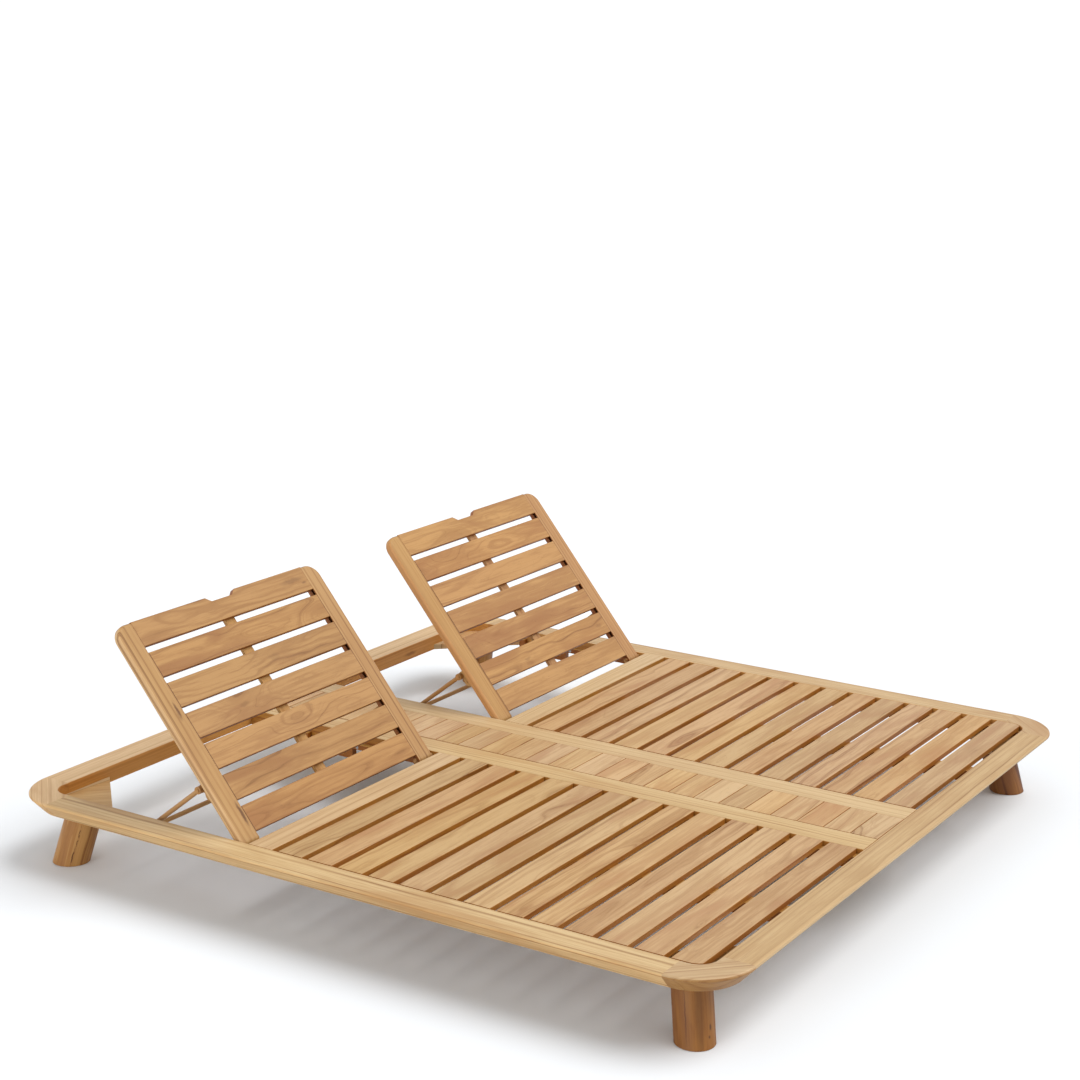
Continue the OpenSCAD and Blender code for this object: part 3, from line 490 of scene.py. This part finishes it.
def seam_shade_mask(s, g):
    """How dark the painted shade in the seams at the ends of a backrest's boards is."""
    end = s.span(s.math("ABSOLUTE", g.u), BOARD_HALF - SEAM_START, BOARD_HALF - SEAM_FULL, 0.0, SEAM_STRENGTH)
    top = s.span(g.whole, TOP_BOARD, TOP_BOARD + TOP_BOARD_BLUR, 1.0, TOP_SEAM_SHARE)
    return s.math("MULTIPLY", end, top)


def groove_shade_mask(s, g, toward):
    """1 on the walls of a stile's groove, where shade is painted; it opens along v on the side `toward`."""
    half = GROOVE_DEPTH / 2
    start, end = GROOVE_END_BLUR
    inside = s.math("ABSOLUTE", s.math("SUBTRACT", s.math("MULTIPLY", g.v, toward), STILE_HALF - half))
    depth = s.span(inside, half - start, half - end, 1.0, 0.0)
    aside = s.math("ABSOLUTE", s.math("ADD", g.w, GROOVE_MID))
    height = s.span(aside, GROOVE_HALF, GROOVE_HALF + GROOVE_SIDE_BLUR, 1.0, 0.0)
    return s.math("MULTIPLY", depth, height)


def with_pale_strip_and_shadow(s, look, colour):
    """The gusset's colour, with the pale strip beside the end rail and the painted shadow line along it."""
    x, y, _ = s.split(s.coord.outputs["Object"])
    depth = s.math("SUBTRACT", OPENING_HALF, s.math("ABSOLUTE", y))
    reach = s.math("SUBTRACT", STRIP_TIP_X, s.math("ABSOLUTE", x))
    over = s.math("MULTIPLY_ADD", reach, -STRIP_SLOPE, depth)
    colour = s.mix(s.span(over, -EDGE_HALF, 0.0, 1.0, 0.0), colour, FRAME.pale)
    near, far = s.span(over, -EDGE_HALF, EDGE_HALF), s.span(over, EDGE_HALF, EDGE_END, EDGE_STRENGTH, 0.0)
    return s.mix(s.math("MULTIPLY", near, far), colour, times(look.dark, EDGE_SHADOW_SHARES))


def wood(name, look, origin, along, across, seed, pitch=0.0, start=0.0, tone=1.0, faces=(), seams=False,
         groove=0, strip=False):
    """Sawn wood whose grain follows `along`; boards at a pitch across it are cut from different trees.

    Each of the faces is a direction and the shares of its colour that a face looking that way has; most are
    painted light and shade."""
    s = Shader(name)
    g = Grain(s, origin, along, across, seed, pitch, start)
    knot = knots(s, g)
    band = growth_bands(s, g, look, knot)
    fine = g.noise(FINE)
    pits = s.span(g.noise(PORES), *PIT_SPAN, 0.0, 0.25 * look.fibre + 0.05)

    colour = figure(s, g, look, knot, band, fine)
    colour = s.mix(pits, colour, times(look.dark, PIT_SHARES))
    # Knots, cracks and streaks, and the painted shade down the front leg
    for mark in MARKS_AND_SHADE.get(name, ()):
        colour = s.mix(spot(s, g, mark), colour, times(look.dark, MARK_AND_SHADE_SHARES))
    colour = tinted(s, g, look, tone, colour)
    # Painted light and shade by the way a face looks, and the tints of some tops
    for direction, shares in faces:
        colour = s.mix(face_mask(s, g, direction), colour, shares, "MULTIPLY")
    # Painted shade in the seams at the boards' ends and on the walls of the stiles' grooves
    if seams:
        colour = s.mix(seam_shade_mask(s, g), colour, SEAM_SHADE_SHARES, "MULTIPLY")
    if groove:
        colour = s.mix(groove_shade_mask(s, g, groove), colour, SEAM_SHADE_SHARES, "MULTIPLY")
    # The pale strip on the gussets and the painted shadow line along it
    if strip:
        colour = with_pale_strip_and_shadow(s, look, colour)
    s.join(colour, s.bsdf.inputs["Base Color"])

    sheen = s.math("MULTIPLY_ADD", fine, FIBRE_SHEEN, s.math("MULTIPLY", band, BAND_SHEEN))
    s.join(s.span(sheen, *WOOD_ROUGH), s.bsdf.inputs["Roughness"])
    s.bsdf.inputs["Specular IOR Level"].default_value = WOOD_SPECULAR
    fibres = s.bump(fine, *FIBRE_BUMP)
    s.join(s.bump(s.math("MULTIPLY", pits, -1.0), *PIT_BUMP, fibres), s.bsdf.inputs["Normal"])
    return s.material


def metal(name, colour, rough, brushed, dull=0.66, scratches=(60.0, 1800.0, 1800.0), patches=140.0):
    """Plain hardware metal with fine scratches along x and darker, rougher patches, so many per metre."""
    s = Shader(name)
    coord = s.coord.outputs["Object"]
    place = s.vector(*[s.math("MULTIPLY", c, number) for c, number in zip(s.split(coord), scratches)])
    scratch = s.noise(place, 2.0, 0.6)
    patch = s.noise(coord, 3.0, 0.6, scale=patches)
    darker = linear([c * dull for c in colour])
    s.join(s.mix(s.span(patch, 0.45, 0.75), linear(colour), darker), s.bsdf.inputs["Base Color"])
    s.bsdf.inputs["Metallic"].default_value = 1.0
    worn = s.math("ADD", s.math("MULTIPLY", scratch, brushed), s.math("MULTIPLY", patch, 1.0 - brushed))
    s.join(s.span(worn, 0.3, 0.7, rough - 0.1, rough + 0.14), s.bsdf.inputs["Roughness"])
    s.join(s.bump(scratch, 0.25, 0.0001), s.bsdf.inputs["Normal"])
    return s.material


def plastic(name, colour, worn=1.7, grains=1500.0, scuffs=90.0):
    """Moulded plastic with a fine spark-eroded grain and paler scuffs, so many per metre."""
    s = Shader(name)
    coord = s.coord.outputs["Object"]
    grain = s.noise(coord, 2.0, 0.6, scale=grains)
    scuff = s.noise(coord, 4.0, 0.7, scale=scuffs)
    paler = linear([c * worn for c in colour])
    s.join(s.mix(s.span(scuff, 0.55, 0.75), linear(colour), paler), s.bsdf.inputs["Base Color"])
    s.join(s.span(scuff, 0.3, 0.8, 0.55, 0.78), s.bsdf.inputs["Roughness"])
    s.join(s.bump(grain, 0.3, 0.0002), s.bsdf.inputs["Normal"])
    return s.material


def dress(material, *nodes):
    """The material goes on every slot of the CAD nodes."""
    for node in nodes:
        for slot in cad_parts[node].material_slots:
            slot.material = material


def dress_alone(node, look, origin, along, across, seed, **options):
    """The CAD node gets a wood of its own, named after it."""
    dress(wood(node, look, origin, along, across, seed, **options), node)


# Painted shade on the faces inside the gaps, for wood(). What is added to a seed keeps the figures of
# neighbouring pieces apart
GAP_SHADE = ((None, GAP_SHADE_SHARES),)


def dress_bays():
    """Side rails and what lies between them."""
    for side, sx in SIDES:
        seed = 3 + sx
        out = sx * X
        slope = (out - RAIL_SLOPE * Z).normalized()
        dress_alone("side_rail_" + side, RAIL, (sx * SIDE_RAIL_X, 0, RAIL_Z), Y, X, seed + 0.2,
                    tone=SIDE_TONES[side], faces=((-out, INNER_SHADE_SHARES), (slope, NOSE_LIGHT_SHARES)))
        dress_alone("centre_rail_" + side, FRAME, (sx * CENTRE_RAIL_X, 0, RAIL_Z), Y, X, seed + 7.1,
                    tone=MIDDLE_TONE, faces=GAP_SHADE)
        dress_alone("hinge_rail_" + side, FRAME, (0, HINGE_RAIL_Y, RAIL_Z), X, Y, seed + 9.3,
                    tone=MIDDLE_TONE, faces=GAP_SHADE)
        dress_alone("seat_slats_" + side, SLAT, (0, 0, SLAT_Z), X, Y, seed + 13.0,
                    pitch=BOARD_PITCH, start=SEAT_START, faces=GAP_SHADE)
        under = wood("cleats_" + side, UNDER, (sx * BAY_MID, 0, CLEAT_Z), Y, X, seed + 21.4, faces=GAP_SHADE)
        dress(under, "seat_cleats_" + side, "seat_batten_" + side, "rack_" + side)
    dress_alone("centre_planks", SLAT, (0, 0, SLAT_Z), X, Y, 29.0, pitch=PLANK_PITCH, start=-OPENING_HALF,
                tone=PLANK_TONE, faces=GAP_SHADE + ((Z, PLANK_SHARES),))
    dress_alone("centre_cleats", UNDER, (0, 0, CLEAT_Z), Y, X, 31.0, faces=GAP_SHADE)


def dress_corner(end, sy, side, sx):
    """A corner block, the gusset below it and its leg."""
    name = end + "_" + side
    seed = 40.0 + 3 * sx + sy
    corner = Vector((sx * CORNER_X, sy * CORNER_Y, RAIL_Z))
    outward = Vector((sx, sy, 0)).normalized()
    tangent = Z.cross(outward)
    slope = (outward - CORNER_SLOPE * Z).normalized()
    dress_alone("corner_" + name, FRAME, corner, tangent, outward, seed, tone=CORNER_TONES_AND_LIGHT[end],
                faces=((-outward, INNER_SHADE_SHARES), (slope, CORNER_SHADE_SHARES[end])))
    dress_alone("gusset_" + name, GUSSET, corner, outward, tangent, seed + 11, tone=GUSSET_TONE_AND_LIGHT, strip=True)
    top = Vector((sx * LEG_X, sy * LEG_Y, LEG_Z))
    axis = (outward * math.sin(LEG_TILT) - Z * math.cos(LEG_TILT)).normalized()
    dress_alone("leg_" + name, LEGS[end], top, axis, tangent, seed + 23, tone=LEG_TONES_AND_LIGHT[end])


def dress_ends():
    """Head and foot rails, and the four corners."""
    for end, sy in ENDS:
        dress_alone(end + "_rail", FRAME, (0, sy * END_RAIL_Y, RAIL_Z), X, Y, 35.0 + sy,
                    tone=RAIL_TONES_AND_LIGHT[end], faces=((-sy * Y, INNER_SHADE_SHARES), (Z, TOP_SHARES[end])))
        for side, sx in SIDES:
            dress_corner(end, sy, side, sx)
    dress_alone("gusset_dowels", FOOT_LEG, (0, 0, 0), X, Y, 77.0)


def dress_backs():
    """Backrests and props."""
    for side, sx in SIDES:
        seed = 90.0 + 4 * sx
        mid = BACK_AXIS + Vector((sx * BAY_MID, 0, 0))
        for part, dx in (("outer", sx), ("inner", -sx)):
            place = mid + Vector((dx * STILE_OFFSET, 0, 0))
            dress_alone("stile_%s_%s" % (part, side), STILE, place, UP_BACK, X, seed + dx * 1.7,
                        tone=STILE_TONE, faces=((-dx * X, STILE_SHADE_SHARES), (dx * X, OUTER_LIGHT_SHARES[part])),
                        groove=-dx)
        boards = wood("back_boards_" + side, BACK, mid, X, UP_BACK, seed + 31, pitch=BOARD_PITCH,
                      start=BACK_START, tone=BACK_TONES[side], faces=GAP_SHADE, seams=True)
        dress(boards, "back_top_rail_" + side, "back_slats_" + side, "back_bottom_rail_" + side)
        dress_alone("back_batten_" + side, UNDER, mid, UP_BACK, X, seed + 41)
        dress_alone("prop_brackets_" + side, BAR, mid, UP_BACK, X, seed + 47)
        dress_alone("prop_arms_" + side, BAR, mid, DOWN_ARM, X, seed + 53)
        dress_alone("prop_bar_" + side, BAR, mid, X, Y, seed + 59)


def dress_hardware():
    """Bolts, screws, pins and glides."""
    steel = metal("steel", (176, 176, 176), rough=0.42, brushed=0.7)
    bronze = metal("bronze", (186, 142, 94), rough=0.50, brushed=0.3)
    dress(steel, "leg_bolts", "wood_screws", "batten_screws_left", "batten_screws_right")
    dress(bronze, "hinge_bolts", "prop_pins_left", "prop_pins_right", "bracket_bolts_left",
          "bracket_bolts_right")
    dress(plastic("glide_plastic", (52, 50, 47)), "foot_glides")


def build_floor():
    """A wide pale floor with a faint cloud in its colour."""
    mesh = bpy.data.meshes.new("floor")
    corners = [(x * FLOOR_HALF, y * FLOOR_HALF, 0) for x, y in ((-1, -1), (1, -1), (1, 1), (-1, 1))]
    mesh.from_pydata(corners, [], [(0, 1, 2, 3)])
    floor = bpy.data.objects.new("floor", mesh)
    bpy.context.scene.collection.objects.link(floor)
    s = Shader("floor")
    cloud = s.noise(s.coord.outputs["Object"], 3.0, 0.5, scale=1.3)
    s.join(s.mix(cloud, *FLOOR_COLOURS), s.bsdf.inputs["Base Color"])
    s.bsdf.inputs["Roughness"].default_value = 0.85
    s.bsdf.inputs["Specular IOR Level"].default_value = 0.1
    mesh.materials.append(s.material)


def sun_light(name, place, power, angle):
    """Parallel light from a place towards the bed's middle, softened by its angle in degrees."""
    data = bpy.data.lights.new(name, "SUN")
    data.energy = power
    data.angle = math.radians(angle)
    lamp = bpy.data.objects.new(name, data)
    lamp.location = place
    lamp.rotation_mode = "QUATERNION"
    lamp.rotation_quaternion = Vector(place).to_track_quat("Z", "Y")
    bpy.context.scene.collection.objects.link(lamp)


def build_light():
    """White surroundings and two soft lights, the key from the right and the fill from the left."""
    scene = bpy.context.scene
    scene.view_settings.view_transform = "Standard"
    scene.view_settings.look = "None"
    world = bpy.data.worlds.new("studio")
    scene.world = world
    world.use_nodes = True
    back = world.node_tree.nodes["Background"]
    back.inputs["Color"].default_value = (1.0, 1.0, 1.0, 1.0)
    make = world.node_tree.nodes.new
    place = make("ShaderNodeTexCoord")
    parts = make("ShaderNodeSeparateXYZ")
    height = make("ShaderNodeMapRange")
    for name, number in SKY:
        height.inputs[name].default_value = number
    for a, b in ((place.outputs["Generated"], parts.inputs[0]),
                 (parts.outputs[2], height.inputs["Value"]),
                 (height.outputs[0], back.inputs["Strength"])):
        world.node_tree.links.new(a, b)
    sun_light("key", (2.3, -4.1, 7.0), power=2.42, angle=44.0)
    sun_light("fill", (-9.0, 1.0, 2.0), power=0.88, angle=30.0)


def build_camera():
    """The photograph's view."""
    data = bpy.data.cameras.new("camera")
    data.sensor_width = SENSOR_WIDTH
    data.lens = FOCAL_LENGTH / PHOTO_WIDTH * SENSOR_WIDTH
    data.clip_start = 0.1
    data.clip_end = 200.0
    camera = bpy.data.objects.new("camera", data)
    turn = Matrix((CAMERA_RIGHT, CAMERA_UP, -CAMERA_AHEAD)).transposed().to_4x4()
    camera.matrix_world = Matrix.Translation(CAMERA_PLACE) @ turn
    bpy.context.scene.collection.objects.link(camera)
    bpy.context.scene.camera = camera


dress_bays()
dress_ends()
dress_backs()
dress_hardware()
build_floor()
build_light()
build_camera()
